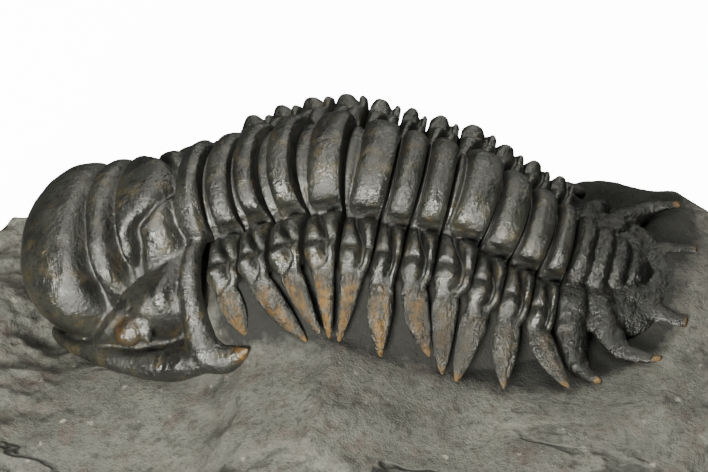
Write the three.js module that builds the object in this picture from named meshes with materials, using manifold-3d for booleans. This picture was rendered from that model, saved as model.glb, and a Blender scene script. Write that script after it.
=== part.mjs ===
// A fossil trilobite, Crotalocephalina, arched over the block of dark grey limestone that it was found
// in. Units are millimetres and +Z is up. The animal runs along X with its head towards -X, and its left
// side faces -Y. Its shell is the real one: a cephalon (head shield), eleven thoracic segments and a
// pygidium (tail shield). Each of them is rigid, so each is modelled in a frame of its own, with x
// towards the tail, y across and z outwards, and is then set on one arched line at the level of the
// furrows beside the axis.

import * as THREE from "three";
import { mergeVertices } from "three/addons/utils/BufferGeometryUtils.js";
import Module from "manifold-3d";

const wasm = await Module();
wasm.setup();

// The arched body line, measured along the line from its highest point
const SEGMENTS = 11;
const HEAD_SLOPE = 38; // degrees, how steeply the line falls towards the head
const HEAD_BEND = 6.5; // mm of line over which it turns to that slope
const TAIL_SLOPE = 27;
const TAIL_BEND = 11;
const PYGIDIUM_SLOPE = 15; // the tail shield flattens out on the rock
const CEPHALON_STATION = -15.8; // the neck ring's place on the line
const PYGIDIUM_STATION = 28.7;
// The planes that part the pieces: where each crosses the line, and its lean towards the head in degrees.
// The first parts the cephalon from segment 1 and the last parts segment 11 from the pygidium.
const PARTINGS = [[-13.9, 24], [-9.85, 28], [-6.3, 33], [-2.2, 29], [2.07, 8], [6.2, -12], [9.4, -14],
  [13.1, -11], [17.5, -22], [21.1, -24], [24.4, -23], [27.4, -15]];
// How far the line is lifted above the smooth arch, because the animal was a little crushed
const LIFT = [[-14, 0], [-11.5, -0.45], [-5, -0.4], [0, 0], [7.8, 0], [11.2, 0.6], [15.3, 1.2],
  [19.4, 0.4], [23, 0], [26, -0.3], [28.7, 0]];
const LINE_STEP = 0.05;

// The axis: its rings shrink from the neck to the tail shield
const AXIS_HALF_WIDTH = 6.1;
const AXIS_HEIGHT = 5.4;
const AXIS_TAPER = 0.33;
const SHELL_DEPTH = 1.5; // how far each piece reaches below its outer surface
const PIECE_GAP = 0.34; // between neighbours
const ROCK_GAP = 0.3; // between a piece and the rock it rests on
const FINEST = 0.08; // detail smaller than this is merged away where a piece is cut

// The block
const BLOCK_X = [-45, 46];
const BLOCK_BASE = -31;
const BLOCK_COLUMNS = 31;
const BLOCK_ROWS = 19;
const NEAR_EDGE = [[-45, -25], [-38, -34], [-24, -36], [0, -34.5], [24, -33.5], [39, -30], [46, -21]];
const FAR_EDGE = [[-45, 2], [-38, 11], [-24, 16.5], [-5, 20], [10, 20], [24, 17], [31, 17.6], [36, 17.3],
  [39, 15.6], [46, 9]];
// Height of the cleaned rock beside the animal, from in front of the head to behind the tail
const GROUND = [[-45, -23.6], [-37, -21.2], [-29, -22], [-19, -20], [-12, -18.8], [-10.2, -17.8],
  [-8.5, -16], [-6.8, -13.6], [-4, -12.4], [-0.4, -11.3], [2, -10], [8, -11.6], [13, -13], [20, -14.2],
  [28, -13.6], [38, -12.8], [46, -14.5]];
const FRONT_HOLLOW = [-29.5, 8, 2.2, 5.5]; // beside the front of the head: x, y, depth, radius
const FAR_DROP = 2.6; // the rock and the spines reach this much lower on the far side

const clamp = THREE.MathUtils.clamp;
const lerp = THREE.MathUtils.lerp;
const smooth = THREE.MathUtils.smoothstep; // smoothstep(value, low, high)
const radians = THREE.MathUtils.degToRad;

// A smooth curve through a few [position, value] points: each span eases between its two ends.
function through(points, at) {
  if (at <= points[0][0]) return points[0][1];
  for (let i = 1; i < points.length; i++) {
    const [x0, v0] = points[i - 1];
    const [x1, v1] = points[i];
    if (at <= x1) {
      const t = (at - x0) / (x1 - x0);
      return lerp(v0, v1, lerp(t, t * t * (3 - 2 * t), 0.5));
    }
  }
  return points[points.length - 1][1];
}

// The slope of the body line, in radians, positive where it rises towards the tail.
function slopeAt(s) {
  if (s < 0) return (radians(HEAD_SLOPE) * -s) / Math.hypot(s, HEAD_BEND);
  return (-radians(TAIL_SLOPE) * s) / Math.hypot(s, TAIL_BEND);
}

// The point of the body line at s: the arch by short steps from its highest point, and the lift there.
function lineAt(s) {
  const steps = Math.max(1, Math.round(Math.abs(s) / LINE_STEP));
  const step = s / steps;
  let x = 0;
  let z = 0;
  for (let i = 0; i < steps; i++) {
    const slope = slopeAt((i + 0.5) * step);
    x += Math.cos(slope) * step;
    z += Math.sin(slope) * step;
  }
  return new THREE.Vector3(x, 0, z + through(LIFT, s));
}

// The frame of a rigid piece: its origin on the line, its x axis along the slope.
function frameAt(s, slope = slopeAt(s)) {
  return new THREE.Matrix4().makeRotationY(-slope).setPosition(lineAt(s));
}

// The frame of segment k lies halfway between the planes that part it from its neighbours.
function segmentFrame(k) {
  const [[front, frontLean], [back, backLean]] = [PARTINGS[k - 1], PARTINGS[k]];
  return frameAt((front + back) / 2, radians((frontLean + backLean) / 2));
}

// Share of full size of the axis at ring k.
const axisSize = (k) => 1 - AXIS_TAPER * Math.pow(k / (SEGMENTS + 1), 1.8);

// Joins closed loops of points into one closed solid, with a flat fan on each end.
function loft(loops) {
  const count = loops[0].length;
  const position = loops.flat().flatMap((p) => [p.x, p.y, p.z]);
  const index = [];
  for (let i = 0; i + 1 < loops.length; i++) {
    for (let j = 0; j < count; j++) {
      const a = i * count + j;
      const b = i * count + ((j + 1) % count);
      index.push(a, b, a + count, b, b + count, a + count);
    }
  }
  const last = (loops.length - 1) * count;
  for (let j = 1; j + 1 < count; j++) {
    index.push(0, j + 1, j, last, last + j, last + j + 1);
  }
  const geometry = new THREE.BufferGeometry();
  geometry.setAttribute("position", new THREE.Float32BufferAttribute(position, 3));
  geometry.setIndex(index);
  return geometry;
}

// A closed geometry as a manifold-3d solid, turned outside out if its faces pointed inwards.
function solidOf(geometry) {
  const bare = geometry.clone();
  for (const name of ["normal", "uv"]) bare.deleteAttribute(name);
  const merged = mergeVertices(bare, 1e-4);
  const triVerts = new Uint32Array(merged.index.array);
  const build = () => new wasm.Manifold(new wasm.Mesh({
    numProp: 3,
    vertProperties: new Float32Array(merged.getAttribute("position").array),
    triVerts,
  }));
  const made = build();
  if (made.volume() > 0) return made;
  for (let i = 0; i < triVerts.length; i += 3) {
    [triVerts[i + 1], triVerts[i + 2]] = [triVerts[i + 2], triVerts[i + 1]];
  }
  return build();
}

function geometryOf(solid) {
  const mesh = solid.getMesh();
  const position = [];
  for (let i = 0; i < mesh.numVert; i++) {
    position.push(...mesh.vertProperties.subarray(i * mesh.numProp, i * mesh.numProp + 3));
  }
  const geometry = new THREE.BufferGeometry();
  geometry.setAttribute("position", new THREE.Float32BufferAttribute(position, 3));
  geometry.setIndex([...mesh.triVerts]);
  geometry.computeVertexNormals();
  return geometry;
}

const union = (geometries) => geometries.map(solidOf).reduce((all, one) => all.add(one));

// The block of rock

// How far below the body line the rock lies inside the animal, at a distance outwards from its axial
// furrow
const BED = [[-7, -2.2], [-3.4, -1.4], [-1.2, 0.7], [0, 2], [3.3, 2.6], [6.4, 3.4], [8, 7.2], [9.6, 9.8],
  [11.1, 11]];

// Height of the body line over the place x.
function lineHeight(x) {
  let s = x;
  for (let i = 0; i < 8; i++) s += x - lineAt(s).x;
  return lineAt(s).z;
}

// Slow undulation of broken rock, between about -1 and 1.
function undulation(x, y) {
  const bent = Math.sin(0.33 * x + 1.7 * Math.sin(0.16 * y + 1.1));
  return 0.5 * bent + 0.5 * Math.sin(0.29 * y - 0.21 * x + 2.3);
}

function rockHeight(x, y) {
  const across = Math.abs(y);
  const farSide = FAR_DROP * smooth(y, 9, 15) * (1 - smooth(x, 23, 30));
  const [hollowX, hollowY, depth, radius] = FRONT_HOLLOW;
  const hollow = depth * Math.exp(-(((x - hollowX) / radius) ** 2) - ((across - hollowY) / radius) ** 2);
  const floor = through(GROUND, x) - farSide - hollow;
  const ground = floor - 0.1 * Math.max(0, across - 18);
  const line = lineHeight(clamp(x, -14, 36));
  const furrow = AXIS_HALF_WIDTH * axisSize(clamp((x + 14) / 3.4, 0, SEGMENTS + 1));
  const bed = Math.max(line - through(BED, across - furrow), floor);
  const underHead = through(GROUND, x) - hollow + 3.2 * (1 - smooth(across, 3, 12)) * smooth(x, -27, -20);
  const underBody = lerp(underHead, bed, smooth(x, -17, -9));
  const tail = through(GROUND, x) + 1.2 * (1 - smooth(across, 2, 9));
  const underTail = lerp(underBody, tail, smooth(x, 29, 37));
  const surface = lerp(underTail, ground, smooth(across, 15, 18));
  const rough = lerp(0.25, 1, Math.max(smooth(-x, 28, 36), smooth(x, 39, 43), smooth(across, 19, 27)));
  return surface + 0.7 * rough * undulation(x, y);
}

// The block: a grid for its top, three rows of points round its broken sides, and a flat sawn base.
function rockGeometry() {
  const top = [];
  for (let j = 0; j <= BLOCK_ROWS; j++) {
    for (let i = 0; i <= BLOCK_COLUMNS; i++) {
      const x = lerp(BLOCK_X[0], BLOCK_X[1], i / BLOCK_COLUMNS);
      const y = lerp(through(NEAR_EDGE, x), through(FAR_EDGE, x), j / BLOCK_ROWS);
      const rim = Math.min(i, BLOCK_COLUMNS - i, j, BLOCK_ROWS - j);
      const drop = rim === 0 ? 3.4 + undulation(2 * y, 2 * x) : 0;
      const bow = rim === 0 ? 0 : 0.5 * undulation(3 * y, x);
      top.push(new THREE.Vector3(x + bow, y, rockHeight(x, y) - drop));
    }
  }
  const wide = BLOCK_COLUMNS + 1;
  const rim = [];
  for (let i = 0; i < BLOCK_COLUMNS; i++) rim.push(i);
  for (let j = 0; j < BLOCK_ROWS; j++) rim.push(j * wide + BLOCK_COLUMNS);
  for (let i = BLOCK_COLUMNS; i > 0; i--) rim.push(BLOCK_ROWS * wide + i);
  for (let j = BLOCK_ROWS; j > 0; j--) rim.push(j * wide);

  const centre = new THREE.Vector3(0, -8, BLOCK_BASE);
  const points = [...top];
  const rows = [rim];
  for (const [share, swell] of [[0.35, 1.2], [0.8, 0.6], [1, -0.8]]) {
    const start = points.length;
    for (const at of rim) {
      const edge = top[at];
      const out = new THREE.Vector3(edge.x - centre.x, edge.y - centre.y, 0).normalize();
      const wave = share === 1 ? 0 : 0.8 * undulation(edge.x * 1.7 + 9 * share, edge.y * 1.9 - 5 * share);
      const z = lerp(edge.z, BLOCK_BASE, share);
      points.push(new THREE.Vector3(edge.x, edge.y, z).addScaledVector(out, swell + wave));
    }
    rows.push(rim.map((_, n) => start + n));
  }
  points.push(centre);
  const index = [];
  for (let j = 0; j < BLOCK_ROWS; j++) {
    for (let i = 0; i < BLOCK_COLUMNS; i++) {
      const a = j * wide + i;
      index.push(a, a + 1, a + wide, a + 1, a + wide + 1, a + wide);
    }
  }
  for (let r = 0; r + 1 < rows.length; r++) {
    rows[r].forEach((a, n) => {
      const next = (n + 1) % rim.length;
      const [b, c, d] = [rows[r][next], rows[r + 1][n], rows[r + 1][next]];
      index.push(a, c, b, b, c, d);
    });
  }
  const foot = rows[rows.length - 1];
  foot.forEach((a, n) => index.push(a, points.length - 1, foot[(n + 1) % foot.length]));
  const geometry = new THREE.BufferGeometry();
  const position = points.flatMap((p) => p.toArray());
  geometry.setAttribute("position", new THREE.Float32BufferAttribute(position, 3));
  geometry.setIndex(index);
  return geometry;
}

const rock = geometryOf(solidOf(rockGeometry()));
const raisedRock = solidOf(rock.clone().translate(0, 0, ROCK_GAP));

// A piece in its own frame, cut to lie on the rock at its place. A crumb cut off by a high spot is left
// out.
function restOnRock(solid, frame) {
  const there = solidOf(geometryOf(solid).applyMatrix4(frame)).subtract(raisedRock);
  const kept = there.decompose().reduce((a, b) => (a.volume() > b.volume() ? a : b));
  return geometryOf(kept.asOriginal().simplify(FINEST)).applyMatrix4(frame.clone().invert());
}

// Thoracic segments

// Points round a ring's section, from front to back: [share of the half ring or of the band, share of the
// crest]
const HALF_RING = [[0, -0.3], [0.7, -0.35]];
const BAND = [[0.05, 0.55], [0.35, 1], [0.75, 0.85], [1, 0.2]];
const BAND_LENGTHS = [2.6, 2.3, 2.7, 3.6, 3.6, 3, 3.1, 3.7, 3.1, 2.7, 2.5]; // of rings 1 to 11
const RING_CREST = 0.9;
const RING_DEPTH = 3.6; // the rock inside the animal cuts the rings off higher than this
const RING_ANGLES = [-84, -62, -37, -12, 12, 37, 62, 84]; // degrees round the ring

// Each half of a segment from its furrow outwards: [distance from the furrow, height, height of the
// bosses there]
const PLEURA = [[0.4, -0.95, 0.1], [1.9, -0.7, 0.85], [3.7, -0.75, 0.7], [5.1, -0.95, 0.3],
  [6.1, -1.35, 0.85]];
const PLEURA_DEPTH = 1.7;
// The two bosses of a pleura are parted by a furrow that runs back across it, from -0.4 to 0.4 of its
// half length.
const FURROW_REACH = 0.4;

// A pleural spine, from the bend to its tip: [share of its length, share of its full width]
const SPINE = [[0.18, 0.98], [0.45, 1], [0.74, 0.68], [1, 0.12]];
const SPINE_HALF_WIDTH = 1.45;
const SPINE_THICKNESS = 1.3;
// Where the near spines of segments 1 to 11 end, on the line's own axes
const SPINE_TIPS = [[-7.1, 15, -12], [-0.4, 16, -10.6], [1.2, 16.5, -9.1], [2.1, 16.5, -9.1],
  [3.1, 16.5, -9.5], [7.7, 17, -10.6], [12.9, 17, -9.8], [14.3, 17, -12.4], [15.8, 17.2, -13.1],
  [21, 17.5, -13], [27.9, 17, -12.3]];
const BEND = [6.4, -2.2]; // where the spine starts: distance from the furrow, height

// The plane that parts ring k from ring k + 1.
function planeAfter(k) {
  const [s, lean] = PARTINGS[k];
  const frame = frameAt(s, radians(lean));
  const normal = new THREE.Vector3().setFromMatrixColumn(frame, 0);
  const point = new THREE.Vector3().setFromMatrixPosition(frame);
  return new THREE.Plane().setFromNormalAndCoplanarPoint(normal, point);
}

// Where such a plane lies along x at the height z of ring k's own frame, less its share of the gap.
function edgeAlong(plane, k, clearance) {
  const local = plane.clone().applyMatrix4(segmentFrame(k).invert());
  return (z) => (clearance - local.constant - local.normal.z * z) / local.normal.x;
}

function ringLoop(k, degrees, front, back) {
  const size = axisSize(k);
  const halfWidth = AXIS_HALF_WIDTH * size;
  const height = AXIS_HEIGHT * size - RING_CREST;
  const angle = radians(degrees);
  const y = halfWidth * Math.sin(angle);
  const z = height * Math.cos(angle);
  const tilt = Math.atan2(Math.sin(angle) / halfWidth, Math.cos(angle) / height);
  const crest = RING_CREST * (1 - 0.5 * smooth(Math.abs(degrees), 60, 90));
  const step = Math.max(0.12, 1 - BAND_LENGTHS[k - 1] / (back(z) - front(z)));
  const outline = [...HALF_RING.map(([share, up]) => [step * share, up * crest]),
    ...BAND.map(([share, up]) => [lerp(step, 1, share), up * crest]), [1, -RING_DEPTH], [0, -RING_DEPTH]];
  return outline.map(([share, up]) => {
    const height = z + Math.cos(tilt) * up;
    return new THREE.Vector3(lerp(front(height), back(height), share), y + Math.sin(tilt) * up, height);
  });
}

function pleuraLoop(k, [out, z, boss], front, back) {
  const y = AXIS_HALF_WIDTH * axisSize(k) + out;
  const tilt = radians(8 + 4 * out);
  const furrow = lerp(-FURROW_REACH, FURROW_REACH, out / PLEURA[PLEURA.length - 1][0]);
  const outline = [[-1, 0], [(furrow - 1) * 0.55, boss], [furrow - 0.08, 0.25 * boss],
    [furrow + 0.12, 0.3 * boss],
    [lerp(furrow, 1, 0.55), boss], [1, 0], [1, -PLEURA_DEPTH], [-1, -PLEURA_DEPTH]];
  return outline.map(([share, up]) => {
    const height = z + Math.cos(tilt) * up;
    const x = lerp(front(height), back(height), (share + 1) / 2);
    return new THREE.Vector3(x, y + Math.sin(tilt) * up, height);
  });
}

// The centre line of a spine in the segment's own frame: it leaves the bend downwards and curves to its
// tip.
function spineCurve(k, drop) {
  const bend = new THREE.Vector3(0, AXIS_HALF_WIDTH * axisSize(k) + BEND[0], BEND[1]);
  const [x, y, z] = SPINE_TIPS[k - 1];
  const tip = new THREE.Vector3(x, y - drop, z - drop).applyMatrix4(segmentFrame(k).invert());
  const shoulder = bend.clone().lerp(tip, 0.45);
  shoulder.x = lerp(0, shoulder.x, 0.5);
  shoulder.y += 0.6;
  return new THREE.QuadraticBezierCurve3(bend, shoulder, tip);
}

// Half the room between this spine and the nearer of its neighbours, at the same share of their lengths.
function roomBeside(k, share, drop) {
  const place = (n) => spineCurve(n, drop).getPoint(share).applyMatrix4(segmentFrame(n));
  const here = place(k);
  const neighbours = [k - 1, k + 1].filter((n) => n >= 1 && n <= SEGMENTS);
  return Math.min(...neighbours.map((n) => place(n).distanceTo(here))) / 2 - PIECE_GAP / 2;
}

function spineLoop(k, [share, wide], drop) {
  const curve = spineCurve(k, drop);
  const centre = curve.getPoint(share);
  const along = curve.getTangent(share);
  const backwards = new THREE.Vector3(1, 0, 0).addScaledVector(along, -along.x).normalize();
  const outwards = backwards.clone().cross(along).normalize();
  const half = Math.min(SPINE_HALF_WIDTH * wide, 0.92 * roomBeside(k, share, drop));
  const thick = SPINE_THICKNESS * lerp(wide, 1, 0.15);
  const outline = [[-1, 0], [-0.6, 0.35], [-0.2, 0.55], [0.2, 0.55], [0.6, 0.35], [1, 0],
    [0.6, -0.5], [-0.6, -0.5]];
  return outline.map(([across, up]) =>
    centre.clone().addScaledVector(backwards, across * half).addScaledVector(outwards, up * thick));
}

function segmentGeometry(k) {
  const front = edgeAlong(planeAfter(k - 1), k, PIECE_GAP / 2);
  const back = edgeAlong(planeAfter(k), k, -PIECE_GAP / 2);
  const ring = RING_ANGLES.map((degrees) => ringLoop(k, degrees, front, back));
  const side = (drop) => [...PLEURA.map((place) => pleuraLoop(k, place, front, back)),
    ...SPINE.map((place) => spineLoop(k, place, drop))];
  const near = side(0).map((loop) => loop.map((p) => new THREE.Vector3(p.x, -p.y, p.z))).reverse();
  return loft([...near, ...ring, ...side(FAR_DROP)]);
}

// Cephalon

// The glabella from its front pole to the neck ring: [x, half width, height above the furrows, depth
// below them]
const GLABELLA = [
  [-23.8, 1.2, 0.7, 2], [-23.1, 4.2, 2.9, 4.6], [-21.6, 7.7, 5, 7.6], [-19.2, 10, 6.8, 9.8],
  [-16.8, 11.1, 7.6, 10.6], [-14.9, 11, 7.5, 9.8], [-13.4, 10.1, 6.9, 7.6], [-12.7, 8.6, 5.7, 5.6],
  [-12, 9.2, 6.6, 5], [-10.7, 9.3, 7.1, 4.6], [-9.5, 8.8, 6.6, 4], [-8.9, 7.6, 5.4, 3.7],
  [-8.3, 8.2, 6.2, 3.5], [-7.3, 8.3, 6.5, 3.3], [-6.7, 7.9, 6.2, 3], [-6.1, 6.6, 5.3, 3],
  [-5.5, 7.1, 5.8, 3], [-4, 7.5, 6, 3], [-2.4, 7.1, 5.8, 3], [-1.7, 6.1, 4.8, 3], [-1.1, 6.7, 5.5, 3],
  [0.1, 6.8, 5.7, 3], [1.1, 6.6, 5.5, 3], [1.7, 6, 4.8, 3],
];
const NECK_LEAN = 0.19; // the neck ring's back leans back by this share of its height
const GLABELLA_SIDES = 16;
// The furrow beside the glabella and the foot of the border, from the back to the front, on the +Y side
const CHEEK_INNER = [[-1.8, 6.2, -0.5], [-4.5, 7.2, -0.5], [-8.5, 8.6, -0.7], [-12, 10.2, -1.8],
  [-17.5, 8.6, -5], [-21, -0.6, -6]];
const CHEEK_OUTER = [[-3, 14.2, -6.1], [-7.9, 14.3, -6.4], [-12, 13, -5.7], [-17, 10.8, -5],
  [-20.5, 7, -4.8], [-22, -0.6, -6.4]];
const CHEEK_LENGTHWISE = 10;
// Across the cheek, from the furrow to the border: [share, swell of the surface there]
const CHEEK_ACROSS = [[0, 0.1], [0.14, 1], [0.38, 1.9], [0.6, 1.9], [0.78, 1.2], [0.9, 0.2], [1, 0]];
const CHEEK_DEPTH = 3;
const EYE_PLACE = [-10.1, 13.1, -3.4];
const EYE_RADII = [1.8, 1.6, 1.5];
// The border is a rounded ridge: from the axis along the back margin, round the genal angle and out into
// the spine, and from the genal angle along the side to the front. Each point is [x, y, z, radius].
const BACK_BORDER = [[-0.1, 6.2, -0.7, 0.9], [-0.8, 8.6, -0.9, 1.15], [-1.8, 11.2, -2.9, 1.3],
  [-2.3, 13.3, -5.5, 1.6], [-2.6, 15, -8, 2.1], [-0.9, 15.9, -9.2, 1.75], [1, 16.3, -9.2, 1.15],
  [3, 16.6, -8.7, 0.2]];
const SIDE_BORDER = [[-3.2, 15.1, -8.2, 1.9], [-7.5, 15.1, -8.2, 1.8], [-12, 13.9, -6.9, 1.5],
  [-17, 11.6, -5.4, 1.1], [-21.8, 8.2, -4.5, 0.7], [-24.1, 4, -5.4, 0.7], [-24.4, -0.6, -6.4, 0.7]];

const curveOf = (points) =>
  new THREE.CatmullRomCurve3(points.map(([x, y, z]) => new THREE.Vector3(x, y, z)));

function glabellaGeometry() {
  return loft(GLABELLA.map(([x, halfWidth, height, depth]) => {
    const lean = NECK_LEAN * smooth(x, -2.5, 1.5);
    const loop = [];
    for (let j = 0; j < GLABELLA_SIDES; j++) {
      const angle = (2 * Math.PI * j) / GLABELLA_SIDES;
      const z = Math.cos(angle) * (Math.cos(angle) > 0 ? height : depth);
      loop.push(new THREE.Vector3(x + lean * z, halfWidth * Math.sin(angle), z));
    }
    return loop;
  }));
}

// One cheek: loops across it, from the furrow in front of its back border to the front of the shield.
function cheekGeometry(side) {
  const inner = curveOf(CHEEK_INNER);
  const outer = curveOf(CHEEK_OUTER);
  const loops = [];
  for (let i = 0; i <= CHEEK_LENGTHWISE; i++) {
    const along = i / CHEEK_LENGTHWISE;
    const a = inner.getPoint(along);
    const b = outer.getPoint(along);
    const across = b.clone().sub(a);
    const outwards = new THREE.Vector3(0, -across.z, across.y).normalize();
    const fade = lerp(0.1, 1, smooth(along, 0, 0.15)) * (1 - smooth(along, 0.52, 0.72));
    const top = CHEEK_ACROSS.map(([share, swell]) =>
      a.clone().addScaledVector(across, share).addScaledVector(outwards, swell * fade));
    const under = CHEEK_ACROSS.filter((_, n) => n % 2 === 1).reverse().map(([share]) => {
      const p = a.clone().addScaledVector(across, share * 0.98);
      p.addScaledVector(outwards, -CHEEK_DEPTH * 0.5);
      return p.setZ(p.z - CHEEK_DEPTH * 0.5);
    });
    loops.push([...top, ...under].map((p) => new THREE.Vector3(p.x, side * p.y, p.z)));
  }
  return loft(loops);
}

// A round rod that tapers through [x, y, z, radius] points, flattened by a share in z.
function rodGeometry(points, side, flat = 1, sides = 8) {
  const centres = points.map(([x, y, z]) => new THREE.Vector3(x, side * y, z));
  return loft(points.map(([, , , radius], n) => {
    const before = centres[Math.max(0, n - 1)];
    const after = centres[Math.min(points.length - 1, n + 1)];
    const along = after.clone().sub(before).normalize();
    const across = new THREE.Vector3(-along.y, along.x, 0).normalize();
    const up = across.clone().cross(along).multiplyScalar(flat);
    const loop = [];
    for (let j = 0; j < sides; j++) {
      const angle = (2 * Math.PI * j) / sides;
      loop.push(centres[n].clone()
        .addScaledVector(across, radius * Math.cos(angle))
        .addScaledVector(up, radius * Math.sin(angle)));
    }
    return loop;
  }));
}

function cephalonSolid() {
  const pieces = [glabellaGeometry()];
  for (const side of [-1, 1]) {
    const eye = new THREE.SphereGeometry(1, 10, 7).scale(...EYE_RADII);
    eye.translate(EYE_PLACE[0], side * EYE_PLACE[1], EYE_PLACE[2]);
    pieces.push(cheekGeometry(side), eye, rodGeometry(BACK_BORDER, side), rodGeometry(SIDE_BORDER, side));
  }
  return union(pieces);
}

// Pygidium

// Its axis, from the front: [x, half width, height]; each ring is a swelling between two furrows
const TAIL_AXIS = [
  [-1, 4.2, 2.9], [-0.5, 4.7, 3.7], [0.5, 4.7, 3.8], [1.3, 4, 3.1], [1.9, 4.3, 3.4],
  [2.8, 4.2, 3.3], [3.5, 3.5, 2.6], [4.1, 3.7, 2.8], [4.9, 3.5, 2.6], [5.5, 2.8, 2], [6.2, 2.8, 2],
  [7.4, 2, 1.4], [8.4, 0.7, 0.5],
];
// The three pairs of flattened marginal spines: [x, y, z, radius] from the root to the tip
const TAIL_SPINES = [
  [[-0.2, 3, -0.5, 1.2], [0.2, 6.4, -1, 1.7], [0.9, 9.6, -2.4, 1.85], [2.2, 13, -3.2, 1.4],
    [4.8, 16, -1.9, 0.35]],
  [[2.2, 2.6, -0.5, 1.2], [3.2, 5.4, -1, 1.7], [4.8, 8.4, -1.8, 1.7], [7, 10.9, -1.5, 1.1],
    [10.4, 12, 0.1, 0.35]],
  [[4.6, 1.8, -0.5, 1.2], [6.4, 3.2, -0.9, 1.5], [8.6, 4.4, -1, 1.2], [10.8, 5.1, -0.6, 1],
    [12.9, 5.4, -0.1, 0.75]],
];
const FAR_SPINE_DROP = 1.3; // the first spine of the far side lies this much lower at its tip
const TAIL_PLATE = [[-1, 8.4], [1, 9], [4, 9], [7, 8.2], [9.3, 6.6], [10.7, 4.6], [11.4, 2.2]];

function pygidiumSolid() {
  const axis = loft(TAIL_AXIS.map(([x, halfWidth, height]) => {
    const loop = [];
    for (let j = 0; j < 12; j++) {
      const angle = (2 * Math.PI * j) / 12;
      const z = Math.cos(angle) * (Math.cos(angle) > 0 ? height : SHELL_DEPTH);
      loop.push(new THREE.Vector3(x, halfWidth * Math.sin(angle), z - 0.3));
    }
    return loop;
  }));
  const plate = loft(TAIL_PLATE.map(([x, halfWidth]) => [
    [-1, -1.9], [-0.75, -0.6], [-0.3, 0.1], [0.3, 0.1], [0.75, -0.6], [1, -1.9], [0.6, -2.4],
    [-0.6, -2.4],
  ].map(([share, z]) => new THREE.Vector3(x, halfWidth * share, z))));
  const far = TAIL_SPINES[0].map(([x, y, z, radius]) =>
    [x + 0.35, 0.95 * y, z - FAR_SPINE_DROP * (y / 16) ** 2, 0.92 * radius]);
  const spines = TAIL_SPINES.flatMap((points, n) =>
    [rodGeometry(points, -1, 0.75), rodGeometry(n === 0 ? far : points, 1, 0.75)]);
  return union([axis, plate, ...spines]);
}

// The specimen

const shellMaterial = new THREE.MeshStandardMaterial({ color: 0x2b2c2a, roughness: 0.38, metalness: 0 });
const rockMaterial = new THREE.MeshStandardMaterial({ color: 0x77756f, roughness: 0.9, metalness: 0 });

const specimen = new THREE.Group();
const matrix = new THREE.Mesh(rock, rockMaterial);
matrix.name = "matrix";
specimen.add(matrix);

function addPiece(name, solid, frame) {
  const mesh = new THREE.Mesh(restOnRock(solid, frame), shellMaterial);
  mesh.name = name;
  mesh.applyMatrix4(frame);
  specimen.add(mesh);
}

addPiece("cephalon", cephalonSolid(), frameAt(CEPHALON_STATION));
for (let k = 1; k <= SEGMENTS; k++) {
  const name = `thoracic_segment_${String(k).padStart(2, "0")}`;
  addPiece(name, solidOf(segmentGeometry(k)), segmentFrame(k));
}
addPiece("pygidium", pygidiumSolid(), frameAt(PYGIDIUM_STATION, -radians(PYGIDIUM_SLOPE)));

// The origin is the middle of the sawn base, under the middle of the whole specimen.
const box = new THREE.Box3().setFromObject(specimen);
const middle = box.getCenter(new THREE.Vector3());
specimen.position.set(-middle.x, -middle.y, -box.min.z);

export default specimen;
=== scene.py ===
# %% [markdown]
# # A spiny trilobite on its rock
# The object is a fossil: an arched trilobite, prepared out of a block of grey limestone. Its shell is a row
# of rigid plates, so the scene has one piece for each plate and one for the rock. All lengths here are in
# millimetres until the last moment, when a mesh is written in metres.

import math

import bpy
import numpy as np
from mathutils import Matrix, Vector


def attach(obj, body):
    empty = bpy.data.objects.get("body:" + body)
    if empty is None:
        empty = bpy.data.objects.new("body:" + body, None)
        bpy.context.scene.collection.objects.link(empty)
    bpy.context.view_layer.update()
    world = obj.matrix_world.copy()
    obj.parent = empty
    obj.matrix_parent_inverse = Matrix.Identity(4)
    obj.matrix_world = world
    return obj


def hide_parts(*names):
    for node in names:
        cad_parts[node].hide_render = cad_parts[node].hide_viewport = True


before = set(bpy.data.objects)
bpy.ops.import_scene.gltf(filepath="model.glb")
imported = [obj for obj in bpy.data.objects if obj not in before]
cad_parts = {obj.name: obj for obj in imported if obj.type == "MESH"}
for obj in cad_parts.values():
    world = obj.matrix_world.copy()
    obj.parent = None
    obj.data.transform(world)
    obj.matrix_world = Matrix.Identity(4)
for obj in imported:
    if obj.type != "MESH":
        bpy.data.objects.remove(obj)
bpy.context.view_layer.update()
MM = 0.001
ORIGIN = np.array([-0.572, 7.799, 31.0])  # the crest of the body line, in the row frame

# %% [markdown]
# ## The body line
# The plates sit on one arched line at the level of the furrows beside the axis. It could be drawn as a
# curve object, but a formula for its slope is shorter and keeps every plate square to it: the line rises
# towards its crest and falls behind it, and each side turns steadily to its own steepest slope.

# %% The body line as sums of short steps
HEAD_SLOPE, HEAD_BEND = 38.0, 6.5
TAIL_SLOPE, TAIL_BEND = 27.0, 11.0
PYGIDIUM_SLOPE = 15.0
SEGMENTS = 11
CEPHALON_STATION, PYGIDIUM_STATION = -15.8, 28.7
# The planes that part the pieces: where each crosses the line, and its lean towards the head in degrees
PARTINGS = [(-13.9, 24), (-9.85, 28), (-6.3, 33), (-2.2, 29), (2.07, 8), (6.2, -12), (9.4, -14), (13.1, -11),
            (17.5, -22), (21.1, -24), (24.4, -23), (27.4, -15)]
# How far the line is lifted above the smooth arch, because the animal was a little crushed
LIFT = [(-14, 0), (-11.5, -0.45), (-5, -0.4), (0, 0), (7.8, 0), (11.2, 0.6), (15.3, 1.2), (19.4, 0.4),
        (23, 0), (26, -0.3), (28.7, 0)]
AXIS_HALF_WIDTH, AXIS_HEIGHT, AXIS_TAPER = 6.1, 5.4, 0.33
PIECE_GAP = 0.34  # between two plates


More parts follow.
